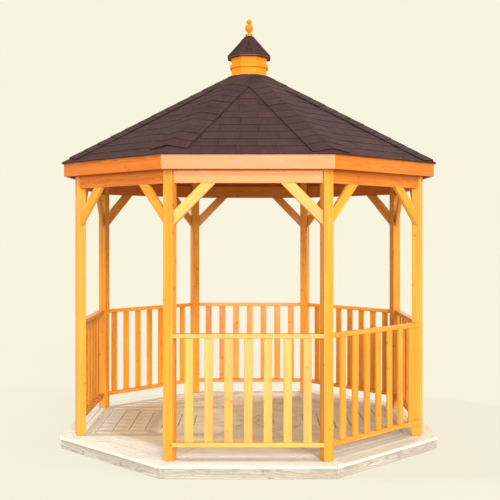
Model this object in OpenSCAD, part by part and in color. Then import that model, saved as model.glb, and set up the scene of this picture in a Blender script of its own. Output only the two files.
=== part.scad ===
// Octagonal garden gazebo: a low timber deck, eight posts with railings and
// braced header beams, a pyramid roof, and a small cupola with a turned finial.
// Millimetres. The origin lies on the ground under the middle of the deck, +Z is
// up and the front bay faces -Y. Bays and corners are counted anticlockwise from
// the front, seen from above, and every piece is drawn facing -Y and then turned
// to its bay or corner.

/* [Deck] */
// Width of the deck across its flat sides
deck_across = 3658; // [3000:1:4500]
// Thickness of the floor boards
floor_t = 28; // [22:1:40]
// How far the floor boards stand out past the rim
nosing = 12; // [4:1:30]
// Height of the rim boards, which stand on the ground
rim_h = 89; // [70:1:190]
// Thickness of the rim boards
rim_t = 38; // [25:1:60]
// Thickness of a joist
joist_t = 38; // [30:1:60]
// Width of the block that the joists meet at, across its flats
floor_hub_w = 300; // [240:1:400]
// Distance from a bay's middle joist to the short joist on each side
joist_step = 400; // [300:1:500]
// Gap for the hanger at the inner end of a short joist
hanger_gap = 2; // [1:0.5:4]

/* [Posts] */
// Width of a square post
post_w = 89; // [70:1:120]
// Distance from the deck's edge in to the outer corner of a post
post_setback = 129; // [100:1:200]

/* [Header beams and braces] */
// Height of the beams' underside above the floor
beam_clear = 2402; // [1900:1:2900]
// Height of a beam
beam_h = 140; // [90:1:190]
// Thickness of a beam and of a brace
beam_t = 38; // [25:1:45]
// Distance from a post's outer corner in to a beam's outer face
beam_inset = 25; // [0:1:40]
// Width of a brace
brace_w = 89; // [60:1:120]
// Reach of a brace along the beam, and down the post
brace_reach = 364; // [250:1:480]

/* [Railings] */
// Height of the top rail's upper face above the floor
rail_top = 1100; // [800:1:1300]
// Gap between the floor and the bottom rail
rail_clear = 124; // [50:1:200]
// Thickness of a rail, which lies flat
rail_t = 38; // [25:1:50]
// Width of a rail
rail_w = 64; // [45:1:89]
// Number of pickets in a bay
picket_count = 7; // [4:1:9]
// Width of a picket
picket_w = 73; // [35:1:89]
// Thickness of a picket
picket_t = 20; // [15:1:35]
// Distance from a rail's outer face in to the pickets
picket_inset = 6; // [0:1:10]
// Depth that a picket's ends are let into the rails
picket_tenon = 6; // [2:1:15]

/* [Roof] */
// Rise of the roof for each 12 of run
rise_in_12 = 7; // [4:0.5:10]
// Distance from a post's outer corner out to the fascia's outer face
eave_overhang = 92.5; // [70:0.5:200]
// Height of the fascia's lower edge above the beams' underside
fascia_lift = 114; // [60:1:130]
// Height of the fascia at its outer face
fascia_h = 135; // [110:1:190]
// Thickness of the fascia
fascia_t = 25; // [18:1:40]
// Thickness of the roof boards, square to the slope
sheathing_t = 19; // [12:1:30]
// Depth of a hip rafter, square to its slope
rafter_h = 140; // [110:1:190]
// Thickness of a hip rafter
rafter_t = 38; // [30:1:50]
// Width of the block that the rafters meet at, across its flats
roof_hub_w = 150; // [130:1:220]
// How far that block hangs below the rafters
roof_hub_drop = 50; // [0:1:150]
// Clearance between that block and the roof boards around it
hub_clear = 20; // [5:1:40]

/* [Cupola] */
// Width of the cupola's body across its flats
cupola_w = 364; // [300:1:480]
// Thickness of the body's walls
cupola_wall = 22; // [15:1:35]
// Height from the roof boards up to the moulding, at the body's face
plinth_h = 92; // [50:1:150]
// Height of the moulding
moulding_h = 46; // [25:1:70]
// How far the moulding stands out from the body
moulding_out = 15.5; // [8:0.5:30]
// Height of the frieze between the moulding and the cupola's eave
frieze_h = 70; // [40:1:140]
// Overhang of the cupola's eave past the body
cupola_overhang = 42; // [25:1:80]
// Height of the eave's upright edge
cupola_edge_h = 12; // [6:1:40]
// Height of the cupola's roof above that edge
cupola_roof_h = 222; // [120:1:300]
// Width of the flat seat at the top of that roof, across its flats
finial_seat_w = 84; // [76:1:120]

/* [Finial] */
// Radius of the collar at its widest
collar_r = 38; // [30:0.5:38]
// Height of the collar
collar_h = 38; // [30:1:60]
// Radius of the urn at its widest
urn_r = 42; // [30:0.5:55]
// Height of the urn's taper, from the collar up to its round part
urn_taper_h = 31; // [20:1:60]
// Radius of the ball at the top
ball_r = 27; // [15:0.5:35]
// Radius of the neck under the ball
neck_r = 12; // [8:0.5:14]

/* [Hidden] */
$fn = 64;
SIDES = 8;
TURN = 360 / SIDES;
HALF = TURN / 2;
// How far a cutting shape reaches past what it cuts
CUT = 20;

BAYS = ["front", "front_right", "right", "back_right", "back", "back_left", "left", "front_left"];
CORNERS = [
    "front_right", "right_front", "right_back", "back_right",
    "back_left", "left_back", "left_front", "front_left"
];
// The front left bay is the way in and has no railing
RAILED = [0, 1, 2, 3, 4, 5, 6];
MAIN_SIDES = [0, 2, 4, 6];
DIAGONAL_SIDES = [1, 3, 5, 7];

// Heights above the ground
deck_top = rim_h + floor_t;
beam_z = deck_top + beam_clear;
fascia_z = beam_z + fascia_lift;
eave_z = fascia_z + fascia_h;

// Distances from the middle to flat sides
deck_a = deck_across / 2;
rim_a = deck_a - nosing;
post_a = deck_a - post_setback;
beam_a = post_a - beam_inset;
fascia_a = post_a + eave_overhang;
cupola_a = cupola_w / 2;

// Radius of a post's outer and inner faces along its corner's line
post_out_r = (post_a - post_w / 2 * sin(HALF)) / cos(HALF);
post_in_r = post_out_r - post_w;

// Roof: rise per unit of run, square to a side and along a hip
pitch = rise_in_12 / 12;
hip_pitch = pitch * cos(HALF);
sheathing_rise = sheathing_t * sqrt(1 + pitch * pitch);
rafter_rise = rafter_h * sqrt(1 + hip_pitch * hip_pitch);
// The rafters' flat tops lie under the hips so that their edges meet the boards
hip_drop = rafter_t / 2 * sin(HALF) * pitch;
post_top = rafter_top(post_in_r) - rafter_rise;
rafter_end_r = (fascia_a - fascia_t - rafter_t / 2 * sin(HALF)) / cos(HALF);
roof_hub_corner = roof_hub_w / 2 / cos(HALF);
roof_hole_a = roof_hub_corner + hub_clear;

// Cupola heights above the ground
cupola_z = roof_top(cupola_a);
moulding_z = cupola_z + plinth_h;
cupola_eave_z = moulding_z + moulding_h + frieze_h;
cupola_slope_z = cupola_eave_z + cupola_edge_h;
finial_z = cupola_slope_z + cupola_roof_h;

// The urn's round part starts below its widest point, at this angle
URN_FROM = 35;

// Half the length of an octagon's side whose flats lie at distance a
function half_side(a) = a * tan(HALF);
// Half the clear width between two posts at distance a
function half_clear(a) = half_side(a) - post_w / 2 / cos(HALF);
// Height of the roof boards' upper face at distance a
function roof_top(a) = eave_z + (fascia_a - a) * pitch;
// Height of a hip rafter's flat top at radius r along the hip
function rafter_top(r) = eave_z + (fascia_a - r * cos(HALF)) * pitch - sheathing_rise - hip_drop;
// Points of an arc about a centre
function arc(cx, cy, r, from, to, step) =
    [for (t = [from : step : to]) [cx + r * cos(t), cy + r * sin(t)]];

module at_bay(k) {
    rotate(TURN * k) children();
}

module at_corner(k) {
    rotate(TURN * k + HALF) children();
}

// A bar across a bay whose ends are cut to two half lengths
module bay_bar(out_a, width, half_out, half_in, z, h) {
    translate([0, 0, z])
        linear_extrude(h)
            polygon([
                [-half_out, -out_a], [half_out, -out_a],
                [half_in, -(out_a - width)], [-half_in, -(out_a - width)]
            ]);
}

// A section drawn as [distance outward, height], spread evenly to both sides
module spread(section, width) {
    rotate([90, 0, -90])
        linear_extrude(width, center = true)
            polygon(section);
}

// The slice of plan that belongs to one side, out to distance a
module side_wedge(a, z0, z1) {
    translate([0, 0, z0])
        linear_extrude(z1 - z0)
            polygon([[0, 0], [-half_side(a), -a], [half_side(a), -a]]);
}

// A mitred piece of one side, from a section that lies between two distances
module mitred(section, a, z0, z1) {
    intersection() {
        spread(section, 2 * a);
        side_wedge(a + CUT, z0, z1);
    }
}

module octagon(a, z, h) {
    translate([0, 0, z])
        rotate(HALF)
            cylinder(h = h, r = a / cos(HALF), $fn = SIDES);
}

// A solid with octagonal levels, from its outline [distance, height] upwards
module octagonal_turning(outline) {
    reach = max([for (p = outline) p.x]);
    mirrored = [for (i = [len(outline) - 1 : -1 : 0]) [-outline[i].x, outline[i].y]];
    intersection_for (k = [0 : SIDES / 2 - 1])
        rotate([90, 0, TURN * k])
            linear_extrude(3 * reach, center = true)
                polygon(concat(outline, mirrored));
}

// ---- Deck ----

module deck_floor() {
    color("blanchedalmond") octagon(deck_a, rim_h, floor_t);
}

module rim_boards(sides) {
    color("tan")
        for (k = sides)
            at_bay(k) bay_bar(rim_a, rim_t, half_side(rim_a), half_side(rim_a - rim_t), 0, rim_h);
}

module floor_hub() {
    color("burlywood") octagon(floor_hub_w / 2, 0, rim_h);
}

// Joists on the corner lines, on the middles of the bays and beside those
module floor_joists() {
    rim_in = rim_a - rim_t;
    hub_corner = floor_hub_w / 2 / cos(HALF);
    corner_in = hub_corner - joist_t / 2 * tan(HALF);
    corner_out = (rim_in - joist_t / 2 * sin(HALF)) / cos(HALF);
    short_side = joist_step - joist_t / 2;
    short_in = (short_side * cos(HALF) + joist_t / 2 + hanger_gap) / sin(HALF);
    color("burlywood")
        for (k = [0 : SIDES - 1]) {
            at_corner(k)
                difference() {
                    translate([-joist_t / 2, -corner_out, 0])
                        cube([joist_t, corner_out - corner_in + joist_t, rim_h]);
                    rotate(-HALF) octagon(floor_hub_w / 2, -CUT, rim_h + 2 * CUT);
                }
            at_bay(k)
                translate([-joist_t / 2, -rim_in, 0])
                    cube([joist_t, rim_in - floor_hub_w / 2, rim_h]);
            for (side = [0, 1])
                at_bay(k)
                    mirror([side, 0, 0])
                        short_joist(short_side, short_in, rim_in);
        }
}

// A joist from the rim in to the side of a corner joist
module short_joist(side, inner, rim_in) {
    skew = joist_t / tan(HALF);
    linear_extrude(rim_h)
        polygon([
            [side, -rim_in], [side + joist_t, -rim_in],
            [side + joist_t, -(inner + skew)], [side, -inner]
        ]);
}

// ---- Posts, beams and braces ----

module post(k) {
    color("orange")
        at_corner(k)
            translate([-post_w / 2, -post_out_r, deck_top])
                cube([post_w, post_w, post_top - deck_top]);
}

module beam(k) {
    color("sandybrown")
        at_bay(k)
            bay_bar(beam_a, beam_t, half_clear(beam_a), half_clear(beam_a - beam_t), beam_z, beam_h);
}

module braces(k) {
    foot = brace_w * sqrt(2);
    corner_x = half_clear(beam_a);
    color("orange")
        at_bay(k)
            for (side = [0, 1])
                mirror([side, 0, 0])
                    intersection() {
                        translate([0, beam_t - beam_a, beam_z])
                            rotate([90, 0, 0])
                                linear_extrude(beam_t)
                                    polygon([
                                        [corner_x, -brace_reach],
                                        [corner_x, foot - brace_reach],
                                        [corner_x - brace_reach + foot, 0],
                                        [corner_x - brace_reach, 0]
                                    ]);
                        bay_bar(beam_a, beam_t, half_clear(beam_a), half_clear(beam_a - beam_t),
                            beam_z - brace_reach, brace_reach);
                    }
}

// ---- Railings ----

module railing(k) {
    color("goldenrod")
        at_bay(k) {
            rail(deck_top + rail_clear);
            rail(deck_top + rail_top - rail_t);
            pickets();
        }
}

module rail(z) {
    bay_bar(post_a, rail_w, half_clear(post_a), half_clear(post_a - rail_w), z, rail_t);
}

// Pickets stand between the rails with the same gap beside each of them
module pickets() {
    face_a = post_a - picket_inset;
    half = half_clear(face_a - picket_t);
    gap = (2 * half - picket_count * picket_w) / (picket_count + 1);
    foot = deck_top + rail_clear + rail_t - picket_tenon;
    head = deck_top + rail_top - rail_t + picket_tenon;
    for (i = [0 : picket_count - 1])
        translate([-half + gap + i * (picket_w + gap), -face_a, foot])
            cube([picket_w, picket_t, head - foot]);
}

// ---- Roof ----

module fascia(sides) {
    inner = fascia_a - fascia_t;
    section = [[inner, fascia_z], [fascia_a, fascia_z], [fascia_a, eave_z], [inner, roof_top(inner)]];
    color("orange")
        for (k = sides)
            at_bay(k) mitred(section, fascia_a, fascia_z, roof_top(inner));
}

module roof_boards(sides) {
    outer = fascia_a - fascia_t;
    section = [
        [roof_hole_a, roof_top(roof_hole_a)], [outer, roof_top(outer)],
        [outer, roof_top(outer) - sheathing_rise], [roof_hole_a, roof_top(roof_hole_a) - sheathing_rise]
    ];
    color("peru")
        for (k = sides)
            at_bay(k) mitred(section, outer, fascia_z, roof_top(0));
}

// Each rafter runs from the block at the peak over its post to the fascia's corner
module hip_rafters() {
    hub_r = roof_hub_w / 2;
    section = [
        [hub_r, rafter_top(hub_r)], [rafter_end_r, rafter_top(rafter_end_r)],
        [rafter_end_r, post_top], [post_in_r, post_top], [hub_r, rafter_top(hub_r) - rafter_rise]
    ];
    color("peru")
        for (k = [0 : SIDES - 1])
            at_corner(k) spread(section, rafter_t);
}

module roof_hub() {
    foot = rafter_top(roof_hub_w / 2) - rafter_rise - roof_hub_drop;
    head = rafter_top(roof_hub_w / 2);
    color("sienna")
        rotate(HALF) octagon(roof_hub_w / 2, foot, head - foot);
}

// ---- Cupola ----

// The walls' lower edges are cut to the slope of the roof boards
module cupola_body() {
    inner_a = cupola_a - cupola_wall;
    body_h = cupola_eave_z - cupola_z;
    color("orange")
        difference() {
            octagon(cupola_a, cupola_z, body_h);
            octagon(inner_a, cupola_z - CUT, body_h + 2 * CUT);
            octagonal_turning([
                [cupola_a + CUT, roof_top(cupola_a + CUT)],
                [inner_a - CUT, roof_top(inner_a - CUT)]
            ]);
        }
}

module cupola_moulding() {
    mid = moulding_z + moulding_h / 2;
    flat = moulding_h / 4;
    color("goldenrod")
        difference() {
            octagonal_turning([
                [cupola_a + moulding_out / 3, moulding_z],
                [cupola_a + moulding_out, mid - flat],
                [cupola_a + moulding_out, mid + flat],
                [cupola_a + moulding_out / 2, moulding_z + moulding_h]
            ]);
            octagon(cupola_a, moulding_z - CUT, moulding_h + 2 * CUT);
        }
}

module cupola_roof() {
    eave_a = cupola_a + cupola_overhang;
    color("dimgray")
        octagonal_turning([
            [eave_a, cupola_eave_z], [eave_a, cupola_slope_z], [finial_seat_w / 2, finial_z]
        ]);
}

module finial() {
    round_r = collar_h / 3;
    urn_z = collar_h + urn_taper_h + urn_r * sin(URN_FROM);
    urn_to = acos(neck_r / urn_r);
    ball_from = acos(neck_r / ball_r);
    ball_z = urn_z + urn_r * sin(urn_to) + ball_r * sin(ball_from);
    foot_r = urn_r * cos(URN_FROM) - urn_taper_h * tan(URN_FROM);
    color("goldenrod")
        translate([0, 0, finial_z])
            rotate_extrude()
                polygon(concat(
                    [[0, 0], [collar_r - round_r / 2, 0]],
                    arc(collar_r - round_r, collar_h / 2, round_r, -60, 60, 20),
                    [[foot_r, collar_h]],
                    arc(0, urn_z, urn_r, -URN_FROM, urn_to, (urn_to + URN_FROM) / 10),
                    arc(0, ball_z, ball_r, 10 - ball_from, 90, (80 + ball_from) / 12)
                ));
}

deck_floor();
rim_boards(MAIN_SIDES);  // rim_main_sides
rim_boards(DIAGONAL_SIDES);  // rim_diagonal_sides
floor_hub();
floor_joists();
for (k = [0 : SIDES - 1]) {
    post(k);
    beam(k);
    braces(k);
}
for (k = RAILED) {
    railing(k);
}
fascia(MAIN_SIDES);  // fascia_main_sides
fascia(DIAGONAL_SIDES);  // fascia_diagonal_sides
roof_boards(MAIN_SIDES);  // roof_main_sides
roof_boards(DIAGONAL_SIDES);  // roof_diagonal_sides
hip_rafters();
roof_hub();
cupola_body();
cupola_moulding();
cupola_roof();
finial();
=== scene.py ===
import math

import bmesh
import bpy
import numpy as np
from mathutils import Matrix, Vector


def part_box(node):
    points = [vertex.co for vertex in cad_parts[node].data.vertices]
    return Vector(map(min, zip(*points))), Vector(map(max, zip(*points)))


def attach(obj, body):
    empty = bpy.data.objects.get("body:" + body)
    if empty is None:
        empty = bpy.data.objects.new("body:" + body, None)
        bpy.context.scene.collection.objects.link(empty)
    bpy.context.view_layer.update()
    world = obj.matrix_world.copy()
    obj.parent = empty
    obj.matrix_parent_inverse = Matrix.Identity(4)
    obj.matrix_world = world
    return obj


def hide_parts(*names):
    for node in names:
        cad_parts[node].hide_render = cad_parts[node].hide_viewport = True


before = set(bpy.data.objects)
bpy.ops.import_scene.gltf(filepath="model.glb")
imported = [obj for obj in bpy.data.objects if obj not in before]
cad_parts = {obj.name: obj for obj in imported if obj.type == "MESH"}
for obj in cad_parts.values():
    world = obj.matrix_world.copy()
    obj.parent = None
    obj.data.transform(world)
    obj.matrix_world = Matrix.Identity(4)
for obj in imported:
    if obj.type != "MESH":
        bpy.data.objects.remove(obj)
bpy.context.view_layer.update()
scene = bpy.context.scene
print("frame loaded:", len(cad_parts), "nodes")

# Sizes that several pieces share, in metres, read from the frame where a box gives them
turn = math.radians(45)
half = turn / 2
tanHalf = math.tan(half)
sinHalf = math.sin(half)
cosHalf = math.cos(half)
deckLow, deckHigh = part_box("deck_floor")
deckApothem = deckHigh.x
deckTop = deckHigh.z
floorThick = deckTop - deckLow.z
post = {
    "width": 0.089,
    "setBack": 0.129,  # from the deck's edge to a post's outer corner
    "ease": 0.005,
}
postApothem = deckApothem - post["setBack"]
postRadius = (postApothem - post["width"] / 2 * sinHalf) / cosHalf  # to a post's outer face
betweenPosts = post["width"] / 2 / cosHalf  # what a post takes off each end of a bay
fasciaThick = 0.025
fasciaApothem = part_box("fascia_main_sides")[1].x
pitch = 7 / 12
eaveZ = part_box("fascia_main_sides")[1].z - fasciaThick * pitch
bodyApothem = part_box("cupola_body")[1].x

bays = ["front", "front_right", "right", "back_right", "back", "back_left", "left", "front_left"]
corners = ["front_right", "right_front", "right_back", "back_right",
           "back_left", "left_back", "left_front", "front_left"]
ringSides = {"main_sides": (0, 2, 4, 6), "diagonal_sides": (1, 3, 5, 7)}
allSides = range(8)


def roofTop(apothem):
    return eaveZ + (fasciaApothem - apothem) * pitch


def camelName(words):
    parts = words.split("_")
    return parts[0] + "".join(part.capitalize() for part in parts[1:])


def addObject(name, data):
    made = bpy.data.objects.new(name, data)
    scene.collection.objects.link(made)
    return made


view = {
    "place": (0.045, -9.316, 2.094),
    "lens": 63.72,
    "shift": (0.0018, -0.0356),
    "sensor": 36,
    "farthest": 100,
}
room = {
    "surround": (0.947, 0.905, 0.73),
    "floorColour": (0.438, 0.438, 0.397),
    "floorGlow": 0.80,
    "floorReach": 600.0,
    "floorHeight": -0.001,
}
lights = {  # power, then turn, height and softness in degrees, then colour
    "keyLight": (2.75, 16, 22, 16, (1.0, 0.91, 0.78)),
    "frontLight": (2.5, 0, 4, 8, (1.0, 0.97, 0.93)),
    "sideLight": (1.75, -90, 57, 3, (0.90, 0.95, 1.0)),
    "rightLight": (1.2, 75, 40, 20, (1.0, 0.90, 0.80)),
    "backLight": (0.9, 160, 34, 28, (1.0, 0.97, 0.92)),
}


def addCamera():
    data = bpy.data.cameras.new("viewCamera")
    data.sensor_width = view["sensor"]
    data.lens = view["lens"]
    data.shift_x, data.shift_y = view["shift"]
    data.clip_end = view["farthest"]
    camera = addObject("viewCamera", data)
    camera.location = view["place"]
    camera.rotation_euler = (math.pi / 2, 0, math.atan(view["place"][0] / -view["place"][1]))
    scene.camera = camera


def addSun(name, power, turnDegrees, heightDegrees, softDegrees, colour):
    data = bpy.data.lights.new(name, "SUN")
    data.energy = power
    data.angle = math.radians(softDegrees)
    data.color = colour
    addObject(name, data).rotation_euler = (math.radians(90 - heightDegrees), 0, math.radians(turnDegrees))


addCamera()
scene.view_settings.view_transform = "Standard"
world = bpy.data.worlds.new("paleRoom")
world.use_nodes = True
world.node_tree.nodes["Background"].inputs["Color"].default_value = (*room["surround"], 1)
world.node_tree.nodes["Background"].inputs["Strength"].default_value = 1.0
scene.world = world
for lightName, values in lights.items():
    addSun(lightName, *values)
print("camera and lights set")


def isSocket(value):
    return isinstance(value, bpy.types.NodeSocket)


# Node helpers, for materials and for Geometry Nodes; an input is a socket to link or a plain value
def fill(node, inputs):
    for key, value in inputs.items():
        if isSocket(value):
            node.id_data.links.new(value, node.inputs[key])
        else:
            node.inputs[key].default_value = value


def put(tree, kind, inputs=None, **settings):
    made = tree.nodes.new(kind)
    for name, value in settings.items():
        setattr(made, name, value)
    fill(made, inputs or {})
    return made.outputs


# A node in the tree that its inputs come from
def feed(kind, inputs, **settings):
    tree = next(value.id_data for value in inputs.values() if isSocket(value))
    return put(tree, kind, inputs, **settings)


def calc(operation, first, second=0.0, third=None):
    inputs = {0: first, 1: second}
    if third is not None:
        inputs[2] = third
    return feed("ShaderNodeMath", inputs, operation=operation)[0]


def times(first, second):
    return calc("MULTIPLY", first, second)


def plus(first, second):
    return calc("ADD", first, second)


def minus(first, second):
    return calc("SUBTRACT", first, second)


def timesPlus(first, second, third):
    return calc("MULTIPLY_ADD", first, second, third)


# A tone that a value between 0 and 1 moves up or down
def vary(value, amount, tone, middle=0.5):
    return timesPlus(minus(value, middle), amount, tone)


def within(value, limit):
    return calc("MAXIMUM", calc("MINIMUM", value, limit), times(limit, -1.0))


def vectorCalc(operation, first, second):
    return feed("ShaderNodeVectorMath", {0: first, 1: second}, operation=operation)[0]


def scaled(vector, by):
    return vectorCalc("MULTIPLY", vector, by)


def joined(x=0.0, y=0.0, z=0.0):
    return feed("ShaderNodeCombineXYZ", {0: x, 1: y, 2: z})[0]


def separate(vector):
    return feed("ShaderNodeSeparateXYZ", {0: vector})


def noise(place, scale, detail, output=0):
    return feed("ShaderNodeTexNoise", {"Vector": place, "Scale": scale, "Detail": detail})[output]


def ramp(factor, stops):
    made = feed("ShaderNodeValToRGB", {0: factor})[0]
    elements = made.node.color_ramp.elements
    while len(elements) < len(stops):
        elements.new(0.5)
    for element, (place, colour) in zip(elements, stops):
        element.position = place
        element.color = (*colour, 1)
    return made


def grey(value):
    return (value, value, value)


def mixColour(factor, first, second, blend="MIX"):
    inputs = {0: factor}
    for index, value in ((6, first), (7, second)):
        inputs[index] = value if isSocket(value) else (*value, 1)
    return feed("ShaderNodeMix", inputs, data_type="RGBA", blend_type=blend)[2]


def shaded(colour, tone):
    shade = feed("ShaderNodeCombineColor", {0: tone, 1: tone, 2: tone})[0]
    return mixColour(1.0, colour, shade, "MULTIPLY")


def step(value, low, high):
    return feed("ShaderNodeMapRange", {0: value, 1: low, 2: high, 3: 0.0, 4: 1.0},
                interpolation_type="SMOOTHSTEP")[0]


def newMaterial(name):
    material = bpy.data.materials.new(name)
    material.use_nodes = True
    tree = material.node_tree
    return material, tree, tree.nodes["Principled BSDF"]


def addBump(shader, height, strength, distance):
    bump = feed("ShaderNodeBump", {"Height": height, "Strength": strength, "Distance": distance})
    fill(shader, {"Normal": bump[0]})


def objectPlace(tree):
    return put(tree, "ShaderNodeTexCoord")["Object"]


# Each board or tab has its own coordinates and its own three chances
def ownPlace(tree):
    return put(tree, "ShaderNodeAttribute", attribute_name="woodCoord")["Vector"]


def ownChances(tree):
    seed = put(tree, "ShaderNodeAttribute", attribute_name="boardSeed")["Fac"]
    chance = feed("ShaderNodeTexWhiteNoise", {"W": seed}, noise_dimensions="1D")["Color"]
    return chance, feed("ShaderNodeSeparateColor", {0: chance})


# Timber with the look of the posts; the other timbers change some of its values
plainPine = {
    "light": (0.655, 0.262, 0.019), "other": (0.620, 0.220, 0.012), "streak": (0.700, 0.305, 0.030),
    "dark": (0.430, 0.115, 0.006), "knotHeart": (0.16, 0.035, 0.010), "knotEdge": (0.34, 0.075, 0.012),
    "shuffle": 9.0, "pithSide": 0.06, "pithDeep": 0.09, "pithLeast": 0.025, "wander": 0.9, "arch": 0.07,
    "ring": 0.0065, "waver": 1.6, "ringDepth": 0.42,
    "knotCell": (0.27, 0.05, 0.05), "knots": 0.42, "knotSize": 0.009, "knotDepth": 0.75,
    "fibreScale": (5.0, 260.0, 260.0), "streakScale": (1.1, 34.0, 34.0), "blotchScale": (2.2, 9.0, 9.0),
    "fibre": 0.22, "blotch": 0.30, "spread": 0.20, "rough": 0.42, "relief": 0.5, "shine": 0.4,
}
timberLooks = {
    "postPine": {},
    # painted light: a paler, yellower copy of the rail timber for the front railing
    "paintedLightRailPine": {"light": (0.705, 0.261, 0.023), "other": (0.681, 0.224, 0.015), "shine": 0.55},
    "railPine": {"light": (0.600, 0.222, 0.015), "other": (0.560, 0.185, 0.010)},
    "beamPine": {
        "light": (0.589, 0.151, 0.006), "other": (0.539, 0.124, 0.004), "streak": (0.639, 0.183, 0.010),
        "dark": (0.315, 0.056, 0.002), "ringDepth": 0.50, "rough": 0.38, "shine": 0.36},
    # painted light: a paler copy of the beam timber for the front and back beams
    "paleBeamPine": {
        "light": (0.620, 0.200, 0.010), "other": (0.580, 0.172, 0.007), "streak": (0.660, 0.235, 0.018),
        "dark": (0.350, 0.075, 0.003), "ringDepth": 0.50, "rough": 0.38, "shine": 0.36},
    "fasciaPine": {
        "light": (0.555, 0.143, 0.006), "other": (0.510, 0.118, 0.004), "streak": (0.639, 0.174, 0.011),
        "dark": (0.299, 0.050, 0.002), "ringDepth": 0.55, "blotch": 0.42, "rough": 0.36, "shine": 0.36},
    "cupolaPine": {
        "light": (0.697, 0.212, 0.010), "other": (0.664, 0.187, 0.008), "streak": (0.714, 0.232, 0.015),
        "dark": (0.481, 0.108, 0.005), "knots": 0.2, "knotSize": 0.005, "ring": 0.005, "rough": 0.6,
        "shine": 0.12},
    "ceilingPine": {
        "light": (0.515, 0.274, 0.108), "other": (0.465, 0.232, 0.083), "streak": (0.548, 0.307, 0.133),
        "dark": (0.299, 0.124, 0.037), "rough": 0.6, "spread": 0.3, "shine": 0.25},
    "rimPine": {
        "light": (0.365, 0.340, 0.307), "other": (0.324, 0.303, 0.270), "streak": (0.415, 0.403, 0.373),
        "dark": (0.195, 0.154, 0.104), "knotHeart": (0.10, 0.055, 0.03), "knotEdge": (0.20, 0.13, 0.075),
        "pithSide": 0.05, "pithDeep": 0.05, "wander": 1.5, "arch": 0.11, "ring": 0.011, "waver": 3.0,
        "ringDepth": 0.62, "knotSize": 0.016, "knots": 0.5, "knotCell": (0.34, 0.06, 0.06),
        "fibre": 0.4, "blotch": 0.35, "rough": 0.78, "relief": 0.8, "shine": 0.2},
    # The deck's inner colour paints shade onto the floor under the roof
    "deckPine": {
        "light": (0.581, 0.560, 0.515), "other": (0.548, 0.515, 0.457), "streak": (0.631, 0.614, 0.581),
        "dark": (0.373, 0.315, 0.249), "knotHeart": (0.16, 0.08, 0.04), "knotEdge": (0.30, 0.18, 0.10),
        "wander": 1.2, "ring": 0.008, "ringDepth": 0.40, "fibre": 0.28, "spread": 0.16, "rough": 0.7,
        "relief": 0.6, "shine": 0.25, "inner": (0.80, 0.655, 0.49), "innerFrom": 1.55, "innerTo": 1.25},
}


def pine(name, look):
    material, tree, shader = newMaterial(name)
    chance, picked = ownChances(tree)
    own = ownPlace(tree)
    spread = scaled(chance, (look["shuffle"], look["pithSide"] * 2, look["pithDeep"]))
    moved = vectorCalc("ADD", own, spread)
    place = vectorCalc("ADD", moved, (0.0, -look["pithSide"], look["pithLeast"]))

    # The pith wanders along the board, which bends the rings into arches
    drift = noise(scaled(place, (look["wander"], 2.2, 2.2)), 1.0, 2.0, "Color")
    bend = scaled(vectorCalc("SUBTRACT", drift, grey(0.5)), (0.0, look["arch"], look["arch"]))
    ringPlace = vectorCalc("ADD", place, bend)

    # Knots are small balls of darker wood met by the surface
    cell = look["knotCell"]
    cellPlace = vectorCalc("DIVIDE", place, cell)
    voronoi = feed("ShaderNodeTexVoronoi", {"Vector": cellPlace, "Scale": 1.0, "Randomness": 1.0})
    offset = scaled(vectorCalc("SUBTRACT", voronoi["Position"], cellPlace), cell)
    away = feed("ShaderNodeVectorMath", {0: offset}, operation="LENGTH")["Value"]
    kind = feed("ShaderNodeSeparateColor", {0: voronoi["Color"]})
    present = calc("GREATER_THAN", kind[0], 1 - look["knots"])
    near = calc("DIVIDE", away, timesPlus(kind[1], look["knotSize"], look["knotSize"] * 0.5))
    knot = times(step(near, 1.1, 0.75), present)
    halo = times(step(near, 2.6, 0.9), present)

    # Growth rings flow round the knots, with fibres, streaks and blotches over them
    rings = feed("ShaderNodeTexWave", {
        "Vector": ringPlace, "Scale": 0.314 / look["ring"], "Distortion": look["waver"], "Detail": 2.0,
        "Detail Scale": 1.2, "Phase Offset": times(halo, 2.2)},
        wave_type="RINGS", rings_direction="X", wave_profile="SIN")["Fac"]
    late = ramp(rings, [(0.0, grey(0.0)), (0.45, grey(0.16)), (0.85, grey(0.8)), (1.0, grey(1.0))])
    fibre = noise(scaled(place, look["fibreScale"]), 1.0, 3.0)
    streak = noise(scaled(place, look["streakScale"]), 1.0, 3.0)
    blotch = noise(scaled(place, look["blotchScale"]), 1.0, 2.0)
    wood = mixColour(picked[0], look["light"], look["other"])
    wood = mixColour(step(streak, 0.42, 0.72), wood, look["streak"])
    wood = mixColour(times(late, look["ringDepth"]), wood, look["dark"])
    wood = mixColour(times(halo, 0.3), wood, look["dark"])
    tone = vary(fibre, look["fibre"], 1.0)
    tone = vary(blotch, look["blotch"], tone)
    tone = vary(picked[1], look["spread"], tone)
    wood = shaded(wood, tone)
    # painted shade: the floor is coloured darker towards the middle, under the roof
    if "inner" in look:  # the floor is darker under the roof than along its open edge
        distance = times(separate(own)[1], -1.0)
        paintedShade = step(distance, look["innerFrom"], look["innerTo"])
        wood = mixColour(paintedShade, wood, mixColour(1.0, wood, look["inner"], "MULTIPLY"))
    knotColour = mixColour(step(near, 0.2, 1.0), look["knotHeart"], look["knotEdge"])
    wood = mixColour(times(knot, look["knotDepth"]), wood, knotColour)
    rough = timesPlus(fibre, 0.12, timesPlus(late, -0.08, look["rough"]))
    fill(shader, {"Base Color": wood, "Roughness": rough, "Specular IOR Level": look["shine"]})
    addBump(shader, timesPlus(fibre, 0.55, times(late, 0.35)), look["relief"], 0.0012)
    return material


timber = {name: pine(name, dict(plainPine, **changes)) for name, changes in timberLooks.items()}


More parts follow.
